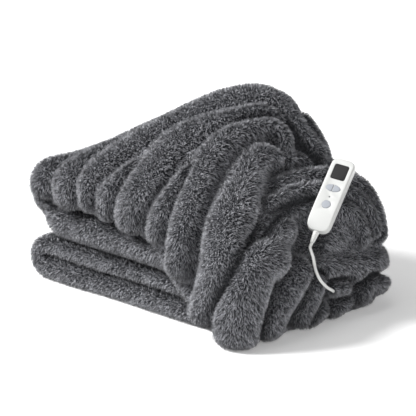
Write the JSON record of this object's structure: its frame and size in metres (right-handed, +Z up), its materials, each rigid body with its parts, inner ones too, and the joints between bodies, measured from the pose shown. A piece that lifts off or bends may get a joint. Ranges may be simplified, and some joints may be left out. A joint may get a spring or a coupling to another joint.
{
  "type": "electric heated blanket",
  "caption": "Plush heated blanket folded in a stack under a gathered cover, with its hand controller lying on the shoulder and the controller's cord running into a fold.",
  "frame": {"origin": "the middle of the base of the blanket with its controller, on the surface it rests on, its cord left out", "axes": "+Z up; +X from the folded stack's left end towards the shoulder that carries the controller; -Y is the side of the folded edges, which the picture shows"},
  "size_m": [0.667, 0.4644, 0.4009],
  "materials": {
    "plush": "long faux fur pile, dark grey, matt with a soft sheen on the tips",
    "white_plastic": "moulded white plastic, semi-gloss",
    "window": "polished black display window",
    "indicator": "small smoked lens",
    "keys": "soft-touch grey keys, matt",
    "sleeve": "soft white moulded sleeve",
    "cord": "soft white PVC jacket"
  },
  "bodies": {
    "blanket": {"blanket": "plush", "controller_housing": "white_plastic", "controller_window": "window", "controller_indicator": "indicator", "strain_relief": "sleeve", "cord": "cord"},
    "key_minus": {"key_minus": "keys"},
    "key_plus": {"key_plus": "keys"},
    "key_power": {"key_power": "keys"}
  },
  "joints": [
    {"name": "key_minus_press", "type": "slide", "parent": "blanket", "child": "key_minus", "axis": [-0.3678, 0.5636, -0.7396], "range_m": [0, 0.0008], "stiffness_N_per_m": 500, "springref_m": -0.001},
    {"name": "key_plus_press", "type": "slide", "parent": "blanket", "child": "key_plus", "axis": [-0.3678, 0.5636, -0.7396], "range_m": [0, 0.0008], "stiffness_N_per_m": 500, "springref_m": -0.001},
    {"name": "key_power_press", "type": "slide", "parent": "blanket", "child": "key_power", "axis": [-0.3678, 0.5636, -0.7396], "range_m": [0, 0.0008], "stiffness_N_per_m": 500, "springref_m": -0.001}
  ]
}
